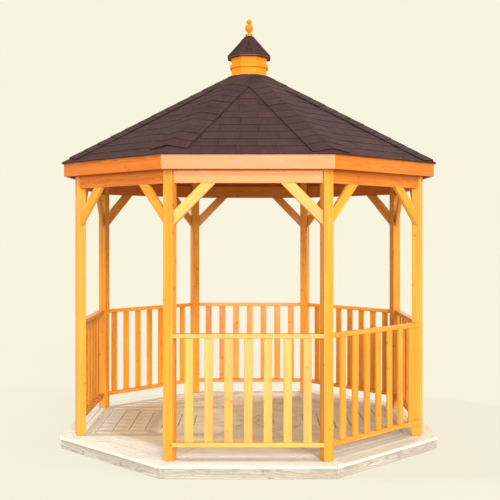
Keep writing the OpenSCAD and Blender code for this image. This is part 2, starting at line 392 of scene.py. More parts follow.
# Rough sawn timber for the joists and hubs
def sawnPine(name):
    material, tree, shader = newMaterial(name)
    place = objectPlace(tree)
    grain = noise(scaled(place, (14, 14, 90)), 1.0, 4.0)
    patch = noise(place, 3.0, 3.0)
    saw = feed("ShaderNodeTexWave", {"Vector": place, "Scale": 22.0, "Distortion": 3.0, "Detail": 2.0},
               bands_direction="DIAGONAL")["Fac"]
    colour = ramp(grain, [(0.25, (0.20, 0.125, 0.062)), (0.55, (0.38, 0.265, 0.145)),
                          (0.8, (0.49, 0.36, 0.21))])
    colour = mixColour(step(patch, 0.45, 0.7), colour, (0.27, 0.215, 0.14))
    fill(shader, {"Base Color": colour, "Roughness": 0.85})
    addBump(shader, timesPlus(saw, 0.4, grain), 0.6, 0.0015)
    return material


# Asphalt shingles: mineral grains, a painted highlight along each butt, a painted shadow under the course
# above, and a tone of its own for each tab
def shingleMaterial(name, look):
    material, tree, shader = newMaterial(name)
    picked = ownChances(tree)[1]
    own = ownPlace(tree)
    place = objectPlace(tree)
    grain = feed("ShaderNodeTexVoronoi", {"Vector": place, "Scale": look["grainScale"]})["Color"]
    grainTone = feed("ShaderNodeSeparateColor", {0: grain})[0]
    patch = noise(place, 9.0, 4.0)
    run = noise(scaled(own, (30.0, 4.0, 30.0)), 1.0, 3.0)
    colour = mixColour(picked[0], look["warm"], look["cool"])
    colour = mixColour(times(step(grainTone, 0.72, 0.95), 0.55), colour, look["fleck"])
    colour = mixColour(times(step(grainTone, 0.30, 0.10), 0.6), colour, look["deep"])
    tone = vary(patch, 0.55, 1.0)
    tone = vary(run, 0.5, tone)
    tone = vary(picked[1], look["spread"], tone)
    upward = separate(own)[1]
    # painted highlight: each tab is lighter along its butt
    tone = timesPlus(step(upward, look["wear"], 0.0), 0.6, tone)
    # painted shadow: each tab is darker just under the butt of the course above
    shadow = step(upward, look["cover"] * 0.82, look["cover"] * 0.97)
    tone = times(tone, timesPlus(shadow, -0.55, 1.0))
    fill(shader, {"Base Color": shaded(colour, tone), "Roughness": 0.92, "Specular IOR Level": 0.1})
    addBump(shader, grainTone, 0.5, 0.0008)
    return material


roofLook = {"warm": (0.040, 0.0172, 0.0155), "cool": (0.031, 0.0175, 0.0205), "fleck": (0.074, 0.043, 0.043),
            "deep": (0.012, 0.006, 0.007), "spread": 0.20, "wear": 0.010, "cover": 0.155, "grainScale": 520.0}
roofShingle = shingleMaterial("roofShingle", roofLook)
capShingle = shingleMaterial("capShingle", dict(roofLook, spread=0.25, wear=0.008))
cupolaShingle = shingleMaterial("cupolaShingle", dict(
    roofLook, warm=(0.036, 0.0145, 0.0135), cool=(0.031, 0.016, 0.018), cover=0.085, wear=0.008))


# One fine noise between two colours, for the cupola's eave
def cupolaEdge(name):
    material, tree, shader = newMaterial(name)
    tone = noise(objectPlace(tree), 60.0, 4.0)
    colour = ramp(tone, [(0.3, (0.050, 0.015, 0.013)), (0.7, (0.085, 0.026, 0.021))])
    fill(shader, {"Base Color": colour, "Roughness": 0.6})
    addBump(shader, tone, 0.3, 0.001)
    return material


def screwSteel(name):
    material, tree, shader = newMaterial(name)
    tone = noise(objectPlace(tree), 400.0, 2.0)
    colour = ramp(tone, [(0.3, (0.20, 0.17, 0.13)), (0.7, (0.38, 0.34, 0.27))])
    rough = ramp(tone, [(0.3, grey(0.35)), (0.7, grey(0.6))])
    fill(shader, {"Base Color": colour, "Roughness": rough, "Metallic": 0.9})
    return material


print("materials made")


# A pile gathers the points and faces of many boards into one piece
def newPile():
    return {"points": [], "faces": [], "wood": [], "seed": [], "count": 0}


def addToPile(pile, points, faces, wood, seed):
    start = pile["count"]
    pile["points"].append(points)
    pile["wood"].append(wood)
    pile["seed"].append(seed)
    pile["faces"].extend([tuple(start + index for index in face) for face in faces])
    pile["count"] = start + len(points)


def readValues(data, name, count, width):
    values = np.zeros(count * width)
    data.foreach_get(name, values)
    return values.reshape(-1, width) if width > 1 else values


def pileMesh(pile, mesh, placed=None):
    count = len(mesh.vertices)
    points = readValues(mesh.vertices, "co", count, 3)
    wood = readValues(mesh.attributes["woodCoord"].data, "vector", count, 3)
    seed = readValues(mesh.attributes["boardSeed"].data, "value", count, 1)
    if placed is not None:
        matrix = np.array(placed)
        points = points @ matrix[:3, :3].T + matrix[:3, 3]
    addToPile(pile, points, [tuple(face.vertices) for face in mesh.polygons], wood, seed)
    bpy.data.meshes.remove(mesh)


def writeVectors(mesh, name, vectors):
    mesh.attributes.new(name, "FLOAT_VECTOR", "POINT")
    mesh.attributes[name].data.foreach_set("vector", vectors.ravel())


# Trimming to a line leaves slivers with no area, and points with no face
def tidyMesh(mesh):
    bm = bmesh.new()
    bm.from_mesh(mesh)
    bmesh.ops.dissolve_degenerate(bm, dist=2e-5, edges=bm.edges)
    loose = [vertex for vertex in bm.verts if not vertex.link_faces]
    bmesh.ops.delete(bm, geom=loose, context="VERTS")
    bm.to_mesh(mesh)
    bm.free()


def finishPile(pile, name, material, replaced=(), clean=False):
    mesh = bpy.data.meshes.new(name)
    mesh.from_pydata(np.concatenate(pile["points"]).tolist(), [], pile["faces"])
    writeVectors(mesh, "woodCoord", np.concatenate(pile["wood"]))
    mesh.attributes.new("boardSeed", "FLOAT", "POINT")
    mesh.attributes["boardSeed"].data.foreach_set("value", np.concatenate(pile["seed"]))
    if clean:
        tidyMesh(mesh)
    mesh.materials.append(material)
    mesh.update()
    piece = addObject(name, mesh)
    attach(piece, "root")
    if replaced:
        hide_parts(*replaced)
    return piece


seedCounter = [0]


def nextSeed():
    seedCounter[0] += 1
    return (seedCounter[0] * 0.61803399) % 1.0


def circle(radius, z, count, start=0.0):
    angles = [2 * math.pi * (k + start) / count for k in range(count)]
    return [(radius * math.cos(angle), radius * math.sin(angle), z) for angle in angles]


# A closed skin over rings of points, from the first ring to the last, or to a single peak
def skin(bm, outlines, peak=None):
    rings = [[bm.verts.new(point) for point in outline] for outline in outlines]
    count = len(rings[0])
    bm.faces.new(rings[0][::-1])
    if peak is None:
        bm.faces.new(rings[-1])
    for under, over in zip(rings, rings[1:]):
        for k in range(count):
            after = (k + 1) % count
            bm.faces.new((under[k], under[after], over[after], over[k]))
    if peak is not None:
        top = bm.verts.new(peak)
        for k in range(count):
            bm.faces.new((rings[-1][k], rings[-1][(k + 1) % count], top))
    bmesh.ops.recalc_face_normals(bm, faces=bm.faces)


def meshParts(bm):
    bm.verts.index_update()
    points = np.array([tuple(vertex.co) for vertex in bm.verts])
    faces = [tuple(vertex.index for vertex in face.verts) for face in bm.faces]
    bm.free()
    return points, faces


# A board between two matching end outlines, with its arrises eased
def addBoard(pile, startEnd, finishEnd, along, across, deep, ease=0.003, middle=None):
    bm = bmesh.new()
    skin(bm, [startEnd, finishEnd])
    if ease:
        bmesh.ops.bevel(bm, geom=list(bm.edges), offset=ease, segments=2, profile=0.5, affect="EDGES",
                        clamp_overlap=True)
    points, faces = meshParts(bm)
    centre = points.mean(0) if middle is None else np.array(middle)
    wood = (points - centre) @ np.array([along, across, deep], float).T
    addToPile(pile, points, faces, wood, np.full(len(points), nextSeed()))


def turned(point, angle):
    return (point[0] * math.cos(angle) - point[1] * math.sin(angle),
            point[0] * math.sin(angle) + point[1] * math.cos(angle), point[2])


def boxSection(inner, outer, foot, head):
    return [(inner, foot), (outer, foot), (outer, head), (inner, head)]


# A board across one bay from a section of (distance out, height); endCut shortens both ends
def addBayBoard(pile, bay, section, endCut=0.0, ease=0.003, flat=False):
    angle = turn * bay
    ends = []
    for side in (-1, 1):
        outline = [(side * (apothem * tanHalf - endCut), -apothem, height) for apothem, height in section]
        ends.append([turned(point, angle) for point in outline])
    outward = turned((0, -1, 0), angle)
    across, deep = (outward, (0, 0, 1)) if flat else ((0, 0, 1), outward)
    addBoard(pile, *ends, turned((1, 0, 0), angle), across, deep, ease)


# The same board across several bays, as one piece
def boardRing(name, sides, section, material, slot, replaced=(), **cut):
    pile = newPile()
    for bay in sides:
        addBayBoard(pile, bay, section, **cut)
    finishPile(pile, camelName(name), material, replaced)


def bayMatrix(bay):
    return Matrix.Rotation(turn * bay, 4, "Z")


# Geometry Nodes helpers; every tree has a thing to repeat, a material, a seed and its own sizes
def newTree(name, thing, counts=(), sizes=()):
    tree = bpy.data.node_groups.new(name, "GeometryNodeTree")
    sockets = [("Geometry", "Geometry"), (thing, "Object"), ("Material", "Material"), ("Seed", "Int")]
    sockets += [(label, "Int") for label in counts]
    sockets += [(label, "Float") for label in sizes]
    for label, kind in sockets:
        tree.interface.new_socket(label, in_out="INPUT", socket_type="NodeSocket" + kind)
    tree.interface.new_socket("Geometry", in_out="OUTPUT", socket_type="NodeSocketGeometry")
    return tree, put(tree, "NodeGroupInput")


def realize(geometry):
    return feed("GeometryNodeRealizeInstances", {"Geometry": geometry})[0]


def finishTree(tree, given, geometry):
    inputs = {"Geometry": realize(geometry), "Material": given["Material"]}
    feed("NodeGroupOutput", {0: feed("GeometryNodeSetMaterial", inputs)[0]})
    return tree


def grow(tree, values, start=None):
    holder = addObject("grower", start or bpy.data.meshes.new("grower"))
    modifier = holder.modifiers.new("grow", "NODES")
    modifier.node_group = tree
    for item in tree.interface.items_tree:
        if item.in_out == "INPUT" and item.name in values:
            modifier[item.identifier] = values[item.name]
    shown = holder.evaluated_get(bpy.context.evaluated_depsgraph_get())
    result = bpy.data.meshes.new_from_object(shown)
    holder.modifiers.remove(modifier)
    bpy.data.objects.remove(holder)
    return result


# The shape that a tree repeats; coords gives the order along, across, deep
def templateObject(name, bm, coords=(0, 1, 2)):
    mesh = bpy.data.meshes.new(name)
    bm.to_mesh(mesh)
    bm.free()
    points = readValues(mesh.vertices, "co", len(mesh.vertices), 3)
    writeVectors(mesh, "woodCoord", points[:, coords])
    return addObject(name, mesh)


def nodeIndex(tree):
    return put(tree, "GeometryNodeInputIndex")[0]


def position(tree):
    return put(tree, "GeometryNodeInputPosition")[0]


def pointLine(count):
    return feed("GeometryNodeMeshLine", {"Count": count})[0]


def moveTo(geometry, place):
    return feed("GeometryNodeSetPosition", {"Geometry": geometry, "Position": place})[0]


def randomValue(low, high, identity, seed):
    inputs = {"ID": identity, "Seed": seed, 2: low, 3: high}
    return feed("FunctionNodeRandomValue", inputs, data_type="FLOAT")[1]


# Each random value of a tree has its own seed, a few past the given one
def moreSeed(given, more):
    return plus(given["Seed"], more)


# The thing at every point, each with a seed of its own
def scatter(points, thing, seed, rotation=None):
    shape = feed("GeometryNodeObjectInfo", {"Object": thing})["Geometry"]
    inputs = {"Points": points, "Instance": shape}
    if rotation is not None:
        inputs["Rotation"] = rotation
    placed = feed("GeometryNodeInstanceOnPoints", inputs)[0]
    inputs = {"Geometry": placed, "Name": "boardSeed",
              "Value": randomValue(0.0, 1.0, nodeIndex(points.id_data), seed)}
    return feed("GeometryNodeStoreNamedAttribute", inputs, data_type="FLOAT", domain="INSTANCE")[0]


# Rows of mitred boards in one bay, for the floor and for the boards under the shingles
def mitredRowsTree():
    tree, given = newTree("mitredRows", "Board", ["Rows"],
                          ["First Distance", "Row Pitch", "Slope", "First Height", "Mitre Gap"])
    inward = times(nodeIndex(tree), given["Row Pitch"])
    distance = minus(given["First Distance"], inward)
    rise = minus(given["First Distance"], distance)
    height = timesPlus(rise, given["Slope"], given["First Height"])
    place = joined(y=times(distance, -1.0), z=height)
    line = moveTo(pointLine(given["Rows"]), place)
    lean = joined(calc("ARCTANGENT", given["Slope"]))
    rows = realize(scatter(line, given["Board"], given["Seed"], lean))
    # A board comes one unit long to each side, and is stretched here to the mitre lines
    here = separate(position(tree))
    reach = timesPlus(here[1], -tanHalf, times(given["Mitre Gap"], -0.5))
    rows = moveTo(rows, joined(times(here[0], reach), here[1], here[2]))
    inputs = {"Geometry": rows, "Name": "woodCoord", "Value": position(tree)}
    rows = feed("GeometryNodeStoreNamedAttribute", inputs, data_type="FLOAT_VECTOR", domain="POINT")
    return finishTree(tree, given, rows[0])


mitredRows = mitredRowsTree()


# The unit board has eased corners, its top at 0, and reaches one unit to each side
def unitBoard(name, width, thick, ease):
    outline = []
    for sideY, sideZ in ((-1, -1), (1, -1), (1, 1), (-1, 1)):
        for part in range(3):
            angle = math.atan2(sideZ, sideY) + math.radians(-45 + 45 * part)
            centreY = sideY * (width / 2 - ease)
            centreZ = -thick / 2 + sideZ * (thick / 2 - ease)
            outline.append((centreY + ease * math.cos(angle), centreZ + ease * math.sin(angle)))
    bm = bmesh.new()
    skin(bm, [[(x, y, z) for y, z in outline] for x in (-1.0, -0.5, 0.0, 0.5, 1.0)])
    return templateObject(name, bm)


def addMitredBays(pile, board, look, sides, first, rowPitch, slope, height, material):
    for bay in sides:
        mesh = grow(mitredRows, {
            "Board": board, "Rows": look["rows"], "First Distance": first, "Row Pitch": rowPitch,
            "Slope": slope, "First Height": height, "Mitre Gap": look["mitreGap"],
            "Seed": look["seed"] + bay, "Material": material})
        pileMesh(pile, mesh, bayMatrix(bay))


deck = {
    "boardWidth": 0.151,
    "boardPitch": 0.158,
    "rows": 11,
    "mitreGap": 0.007,
    "ease": 0.004,
    "seed": 31,
    "blockEase": 0.003,
    "blockGrain": 0.4,  # how far to one side the block in the middle takes its grain from
}


def buildDeck():
    board = unitBoard("deckUnit", deck["boardWidth"], floorThick, deck["ease"])
    pile = newPile()
    addMitredBays(pile, board, deck, allSides, deckApothem - deck["boardWidth"] / 2, deck["boardPitch"],
                  0.0, deckTop, timber["deckPine"])
    bpy.data.objects.remove(board)
    # The small octagonal block that closes the middle
    corner = (deckApothem - deck["rows"] * deck["boardPitch"]) / cosHalf
    under, ring = (circle(corner, z, 8, 0.5) for z in (deckTop - floorThick, deckTop))
    addBoard(pile, under, ring, (1, 0, 0), (0, 1, 0), (0, 0, 1), deck["blockEase"],
             (0, deck["blockGrain"], deckTop))
    finishPile(pile, "deckBoards", timber["deckPine"], ["deck_floor"])


buildDeck()
print("deck boards laid")

roofDeck = {
    "rows": 14,
    "boardGap": 0.0015,
    "hole": 0.1012,
    "thick": 0.019,
    "ease": 0.004,
    "mitreGap": 0.001,
    "seed": 57,
}


def buildRoofBoards():
    outer = fasciaApothem - fasciaThick
    planPitch = (outer - roofDeck["hole"]) / roofDeck["rows"]
    boardWidth = planPitch / math.cos(math.atan(pitch)) - roofDeck["boardGap"]
    board = unitBoard("roofUnit", boardWidth, roofDeck["thick"], roofDeck["ease"])
    middle = outer - planPitch / 2
    for name, sides in ringSides.items():
        pile = newPile()
        addMitredBays(pile, board, roofDeck, sides, middle, planPitch, pitch, roofTop(middle),
                      timber["ceilingPine"])
        finishPile(pile, camelName("roof_boards_" + name), timber["ceilingPine"],
                   ["roof_" + name])
    bpy.data.objects.remove(board)


buildRoofBoards()
print("roof boards laid")

rim = {"apothem": 1.817, "thick": 0.038, "height": 0.089, "endCut": 0.0006, "ease": 0.002}
beam = {"apothem": postApothem - 0.025, "thick": 0.038, "foot": deckTop + 2.402, "height": 0.140}
brace = {"reach": 0.364, "width": 0.089}
fascia = {"foot": beam["foot"] + 0.114, "endCut": 0.0004, "ease": 0.002}
rafter = {"thick": 0.038, "depth": 0.140, "hubRadius": 0.075, "ease": 0.002}
beamInner = beam["apothem"] - beam["thick"]


def buildRim():
    section = boxSection(rim["apothem"] - rim["thick"], rim["apothem"], 0, rim["height"])
    for name, sides in ringSides.items():
        boardRing("rim_boards_" + name, sides, section, timber["rimPine"], "rim_timber", ["rim_" + name],
                  endCut=rim["endCut"], ease=rim["ease"])


def buildPosts():
    side = post["width"] / 2
    for index, name in enumerate(corners):
        node = "post_" + name
        angle = turn * index + half
        outline = boxSection(-side, side, -postRadius, -postRadius + post["width"])
        foot, top = ([turned((x, y, z), angle) for x, y in outline] for z in (deckTop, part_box(node)[1].z))
        pile = newPile()
        addBoard(pile, foot, top, (0, 0, 1), turned((1, 0, 0), angle), turned((0, 1, 0), angle), post["ease"])
        finishPile(pile, camelName(node), timber["postPine"], [node])


def buildBeams():
    section = boxSection(beamInner, beam["apothem"], beam["foot"], beam["foot"] + beam["height"])
    for bay, name in enumerate(bays):
        # painted light: the front and back beams take the paler copy of the beam timber
        wood = timber["paleBeamPine" if bay in (0, 4) else "beamPine"]  # paler at the front and back
        boardRing("beam_" + name, [bay], section, wood, "beams", ["beam_" + name], endCut=betweenPosts)


def buildBraces():
    top = beam["foot"]
    reach = brace["reach"]
    cut = brace["width"] * math.sqrt(2)
    slope = math.sqrt(0.5)
    far = beam["apothem"] * tanHalf - betweenPosts - reach
    for bay, name in enumerate(bays):
        angle = turn * bay
        pile = newPile()
        for side in (-1, 1):
            ends = []
            for apothem in (beam["apothem"], beamInner):
                wall = apothem * tanHalf - betweenPosts
                outline = [(wall, top - reach), (wall, top - reach + cut), (far + cut, top), (far, top)]
                ends.append([turned((side * x, -apothem, z), angle) for x, z in outline])
            addBoard(pile, *ends, turned((side * -slope, 0, slope), angle),
                     turned((side * slope, 0, slope), angle), turned((0, -1, 0), angle))
        finishPile(pile, camelName("braces_" + name), timber["postPine"], ["braces_" + name])


def buildFascia():
    inner = fasciaApothem - fasciaThick
    section = [(inner, fascia["foot"]), (fasciaApothem, fascia["foot"]), (fasciaApothem, eaveZ),
               (inner, roofTop(inner))]
    for name, sides in ringSides.items():
        boardRing("fascia_boards_" + name, sides, section, timber["fasciaPine"], "fascia", ["fascia_" + name],
                  endCut=fascia["endCut"], ease=fascia["ease"])


def buildRafters():
    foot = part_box("hip_rafters")[0].z
    side = rafter["thick"] / 2
    hub = rafter["hubRadius"]
    slope = pitch * cosHalf
    drop = side * sinHalf * pitch + roofDeck["thick"] * math.sqrt(1 + pitch * pitch)
    depth = rafter["depth"] * math.sqrt(1 + slope * slope)
    end = (fasciaApothem - fasciaThick - side * sinHalf) / cosHalf

    def rafterTop(radius):
        return roofTop(radius * cosHalf) - drop

    section = [(hub, rafterTop(hub)), (end, rafterTop(end)), (end, foot), (postRadius - post["width"], foot),
               (hub, rafterTop(hub) - depth)]
    pile = newPile()
    tilt = math.hypot(1, slope)
    for index in allSides:
        angle = turn * index + half
        ends = [[turned((x, -radius, height), angle) for radius, height in section] for x in (-side, side)]
        addBoard(pile, *ends, turned((0, 1 / tilt, slope / tilt), angle),
                 turned((0, -slope / tilt, 1 / tilt), angle), turned((1, 0, 0), angle), rafter["ease"])
    finishPile(pile, "hipRafters", timber["ceilingPine"], ["hip_rafters"])


buildRim()
buildPosts()
buildBeams()
buildBraces()
buildFascia()
buildRafters()
print("timbers placed")

railing = {
    "railTop": 1.100,
    "railClear": 0.124,
    "railThick": 0.038,
    "railWidth": 0.064,
    "railEase": 0.004,
    "pickets": 7,
    "picketWidth": 0.073,
    "picketThick": 0.020,
    "picketInset": 0.006,
    "picketEase": 0.0035,
    "seed": 11,
}


def picketRowTree():
    tree, given = newTree("picketRow", "Picket", ["Pickets"], ["Spacing", "First X", "Face Y"])
    placeX = timesPlus(nodeIndex(tree), given["Spacing"], given["First X"])
    line = moveTo(pointLine(given["Pickets"]), joined(placeX, given["Face Y"]))
    return finishTree(tree, given, scatter(line, given["Picket"], given["Seed"]))


def picketUnit(foot, head):
    low = (0, 0, foot)
    high = (railing["picketWidth"], railing["picketThick"], head)
    bm = bmesh.new()
    bmesh.ops.create_cube(bm, size=1.0)
    for vertex in bm.verts:
        vertex.co = Vector([low[i] if vertex.co[i] < 0 else high[i] for i in range(3)])
    bmesh.ops.bevel(bm, geom=list(bm.edges), offset=railing["picketEase"], segments=2, profile=0.5,
                    affect="EDGES")
    return templateObject("picketUnit", bm, (2, 0, 1))


# Two flat rails and a row of pickets in every bay but the front left one, which is the way in
def buildRailings():
    tree = picketRowTree()
    foot = deckTop + railing["railClear"]
    head = deckTop + railing["railTop"]
    thick = railing["railThick"]
    face = postApothem - railing["picketInset"]
    halfBay = (face - railing["picketThick"]) * tanHalf - betweenPosts
    width = railing["picketWidth"]
    gap = (2 * halfBay - railing["pickets"] * width) / (railing["pickets"] + 1)
    picket = picketUnit(foot + thick, head - thick)
    for bay, name in enumerate(bays[:7]):
        # painted light: the front railing takes a paler copy of the rail timber
        wood = timber["railPine" if bay else "paintedLightRailPine"]
        pile = newPile()
        for bottom in (foot, head - thick):
            section = boxSection(postApothem - railing["railWidth"], postApothem, bottom, bottom + thick)
            addBayBoard(pile, bay, section, betweenPosts, railing["railEase"])
        mesh = grow(tree, {
            "Picket": picket, "Pickets": railing["pickets"], "Spacing": width + gap,
            "First X": -halfBay + gap, "Face Y": -face, "Seed": railing["seed"] + bay, "Material": wood})
        pileMesh(pile, mesh, bayMatrix(bay))
        finishPile(pile, camelName("railing_" + name), wood, ["railing_" + name])
    bpy.data.objects.remove(picket)


buildRailings()
print("railings set")


# The sheet ripples a little
def rippled(given, here, scale, z):
    return vary(noise(here, scale, 1.0), given["Ripple"], z, 0.35)


# Shingles in courses up one slope, every other course half a tab along
def shingleTree():
    tree, given = newTree("shingleCourses", "Tab", ["Courses", "Tabs"],
                          ["Exposure", "Tab Pitch", "Eave Half", "Taper", "Slope Length", "Jitter", "Ripple"])
    index = nodeIndex(tree)
    line = pointLine(times(given["Courses"], given["Tabs"]))
    course = calc("FLOOR", calc("DIVIDE", plus(index, 0.25), given["Tabs"]))
    tab = minus(index, times(course, given["Tabs"]))
    centred = minus(tab, timesPlus(given["Tabs"], 0.5, -0.5))
    stagger = minus(calc("MODULO", course, 2.0), 0.5)
    slide = randomValue(-0.04, 0.04, course, moreSeed(given, 7.0))
    shift = plus(timesPlus(stagger, 0.5, centred), slide)
    rise = randomValue(0.0, given["Jitter"], index, given["Seed"])
    lift = randomValue(0.0, 0.0011, index, moreSeed(given, 3.0))
    place = joined(times(shift, given["Tab Pitch"]),
                   timesPlus(course, given["Exposure"], rise), lift)
    line = moveTo(line, place)

    # Tabs that would lie wholly past a hip are left out
    at = separate(position(tree))
    limit = minus(given["Eave Half"], times(at[1], given["Taper"]))
    edge = minus(calc("ABSOLUTE", at[0]), times(given["Tab Pitch"], 0.47))
    outside = calc("GREATER_THAN", edge, limit)
    line = feed("GeometryNodeDeleteGeometry", {"Geometry": line, "Selection": outside})[0]
    identity = put(tree, "GeometryNodeInputID")[0]
    skew = joined(z=randomValue(-0.0035, 0.0035, identity, moreSeed(given, 5.0)))
    tabs = realize(scatter(line, given["Tab"], moreSeed(given, 11.0), skew))

    # The corners past a hip, or under the cupola, are trimmed to the line
    here = position(tree)
    at = separate(here)
    upSlope = calc("MINIMUM", at[1], given["Slope Length"])
    limit = minus(given["Eave Half"], times(upSlope, given["Taper"]))
    place = joined(within(at[0], limit), upSlope, rippled(given, here, 7.0, at[2]))
    return finishTree(tree, given, moveTo(tabs, place))


# A thin plate on a grid, raised at its butt; fold bends it down to both sides of a hip
def plateTemplate(name, width, length, look, fold=0.0):
    bm = bmesh.new()
    nx, ny = look["cells"]
    layers = []
    for thick in (look["thick"], 0.0):
        grid = []
        for j in range(ny + 1):
            y = length * j / ny
            raised = look["base"] + look["lift"] * (1 - j / ny) + thick
            across = [width * (i / nx - 0.5) for i in range(nx + 1)]
            grid.append([bm.verts.new((x, y, raised - fold * abs(x))) for x in across])
        layers.append(grid)
    for grid in layers:
        for j in range(ny):
            for i in range(nx):
                bm.faces.new((grid[j][i], grid[j][i + 1], grid[j + 1][i + 1], grid[j + 1][i]))
    border = [(0, i) for i in range(nx)] + [(j, nx) for j in range(ny)]
    border += [(ny, i) for i in range(nx, 0, -1)] + [(j, 0) for j in range(ny, 0, -1)]
    upper, lower = ([grid[j][i] for j, i in border] for grid in layers)
    for k in range(len(border)):
        bm.faces.new((upper[k - 1], upper[k], lower[k], lower[k - 1]))
    bmesh.ops.recalc_face_normals(bm, faces=bm.faces)
    return templateObject(name, bm)


def slopePlacing(bay, apothem, height, slope, sink):
    slant = math.atan(slope)
    sine, cosine = math.sin(slant), math.cos(slant)
    leaned = Matrix(((1, 0, 0, 0), (0, cosine, -sine, -(apothem - sink * sine)),
                     (0, sine, cosine, height - sink * cosine), (0, 0, 0, 1)))
    return bayMatrix(bay) @ leaned


mainRoof = {
    "eave": fasciaApothem + 0.0185,
    "slope": pitch,
    "exposure": 0.155,
    "tabPitch": 0.345,
    "slot": 0.007,
    "tabLength": 0.322,
    "thick": 0.003,
    "lift": 0.0061,
    "base": 0.0,
    "stop": bodyApothem + 0.002,
    "jitter": 0.003,
    "ripple": 0.0030,
    "cells": (8, 4),
    "sink": 0.0,
    "seed": 101,
    "seedStep": 13,
}
smallRoof = {
    "eave": 0.2245,
    "slope": 0.222 / 0.182,
    "exposure": 0.088,
    "tabPitch": 0.118,
    "slot": 0.004,
    "tabLength": 0.165,
    "thick": 0.0025,
    "lift": 0.0040,
    "base": 0.0,
    "stop": 0.043,
    "jitter": 0.002,
    "ripple": 0.0012,
    "cells": (4, 3),
    "sink": 0.009,
    "seed": 203,
    "seedStep": 13,
}
starter = {
    "out": 0.002,  # past the shingles' eave
    "up": 0.17,  # from the fascia
    "lift": 0.0005,
    "thick": (0.0062, 0.0020),  # tops of its outer and inner edge over the roof line
}
cupola = {
    "seat": 0.042,  # the finial's seat
    "endCut": 0.0002,
    "ease": 0.0015,
    "wall": 0.022,
    "mouldingHeight": 0.046,
    "mouldingOut": 0.0155,
    "soffitOut": 0.004,
    "soffitRise": 0.009,
    "peakIn": 0.004,
}
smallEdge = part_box("cupola_roof")[1].z - (smallRoof["eave"] - cupola["seat"]) * smallRoof["slope"]


def layShingles(tree, roof, unit, name, sides, height, material):
    tab = plateTemplate(unit, roof["tabPitch"] - roof["slot"], roof["tabLength"], roof)
    slant = math.cos(math.atan(roof["slope"]))
    slopeLength = (roof["eave"] - roof["stop"]) / slant
    eaveHalf = roof["eave"] * tanHalf
    pile = newPile()
    for bay in sides:
        mesh = grow(tree, {
            "Tab": tab, "Courses": math.ceil(slopeLength / roof["exposure"]),
            "Tabs": 2 * math.ceil(eaveHalf / roof["tabPitch"]) + 2, "Exposure": roof["exposure"],
            "Tab Pitch": roof["tabPitch"], "Eave Half": eaveHalf, "Taper": slant * tanHalf,
            "Slope Length": slopeLength, "Jitter": roof["jitter"], "Ripple": roof["ripple"],
            "Seed": roof["seed"] + roof["seedStep"] * bay, "Material": material})
        pileMesh(pile, mesh, slopePlacing(bay, roof["eave"], height, roof["slope"], roof["sink"]))
    bpy.data.objects.remove(tab)
    finishPile(pile, camelName(name), material, clean=True)


# The starter strip under the first course shows as a dark edge all round
def starterSection():
    outer = mainRoof["eave"] + starter["out"]
    inner = fasciaApothem - starter["up"]
    thickOut, thickIn = starter["thick"]
    return [(inner, roofTop(inner) + starter["lift"]), (outer, roofTop(outer) + starter["lift"]),
            (outer, roofTop(outer) + thickOut), (inner, roofTop(inner) + thickIn)]


def buildShingles():
    tree = shingleTree()
    clear = 0.0002  # over the roof boards
    for name, sides in ringSides.items():
        layShingles(tree, mainRoof, "tabUnit", "shingles_" + name, sides, roofTop(mainRoof["eave"]) + clear,
                    roofShingle)
    boardRing("starterStrip", allSides, starterSection(), capShingle, "shingles", ease=0.0, flat=True)
    layShingles(tree, smallRoof, "smallTabUnit", "cupolaShingles", allSides, smallEdge, cupolaShingle)


buildShingles()
print("shingles laid")


# Caps overlapping up one hip
def hipCapTree():
    tree, given = newTree("hipCaps", "Cap", ["Caps"],
                          ["First", "Exposure", "Corner", "Level", "Stop", "Yaw", "Ripple"])
    index = nodeIndex(tree)
    rise = randomValue(-0.004, 0.004, index, given["Seed"])
    placeY = plus(timesPlus(index, given["Exposure"], given["First"]), rise)
    lift = randomValue(0.0, 0.0016, index, moreSeed(given, 3.0))
    line = moveTo(pointLine(given["Caps"]), joined(y=placeY, z=lift))
    swing = randomValue(times(given["Yaw"], -1.0), given["Yaw"], index, moreSeed(given, 5.0))
    caps = realize(scatter(line, given["Cap"], moreSeed(given, 11.0), joined(z=swing)))

    # A cap is trimmed at the eave, to the middle lines of its two slopes near the peak, and at the wall
    here = position(tree)
    at = separate(here)
    size = calc("ABSOLUTE", at[0])
    wall = timesPlus(size, -tanHalf, calc("DIVIDE", given["Stop"], cosHalf))
    top = calc("DIVIDE", minus(given["Corner"], wall), given["Level"])
    eaveLine = calc("DIVIDE", times(size, tanHalf), given["Level"])
    upHip = calc("MAXIMUM", calc("MINIMUM", at[1], top), eaveLine)
    radius = minus(given["Corner"], times(upHip, given["Level"]))
    trimmed = within(at[0], times(radius, tanHalf))
    place = joined(trimmed, upHip, rippled(given, here, 9.0, at[2]))
    return finishTree(tree, given, moveTo(caps, place))


mainCaps = {
    "width": 0.370,
    "length": 0.310,
    "exposure": 0.155,
    "first": (0.080, 0.05, 0.10, 0.06, 0.09, 0.05, 0.10, 0.160),
    "thick": 0.004,
    "lift": 0.007,
    "base": 0.0105,
    "yaw": 0.012,
    "ripple": 0.004,
    "cells": (12, 4),
    "seed": 401,
    "seedStep": 17,
}
smallCaps = {
    "width": 0.080,
    "length": 0.150,
    "exposure": 0.075,
    "first": (0.006,) * 8,
    "thick": 0.0025,
    "lift": 0.0035,
    "base": 0.0045,
    "yaw": 0.02,
    "ripple": 0.0012,
    "cells": (6, 3),
    "seed": 503,
    "seedStep": 17,
}


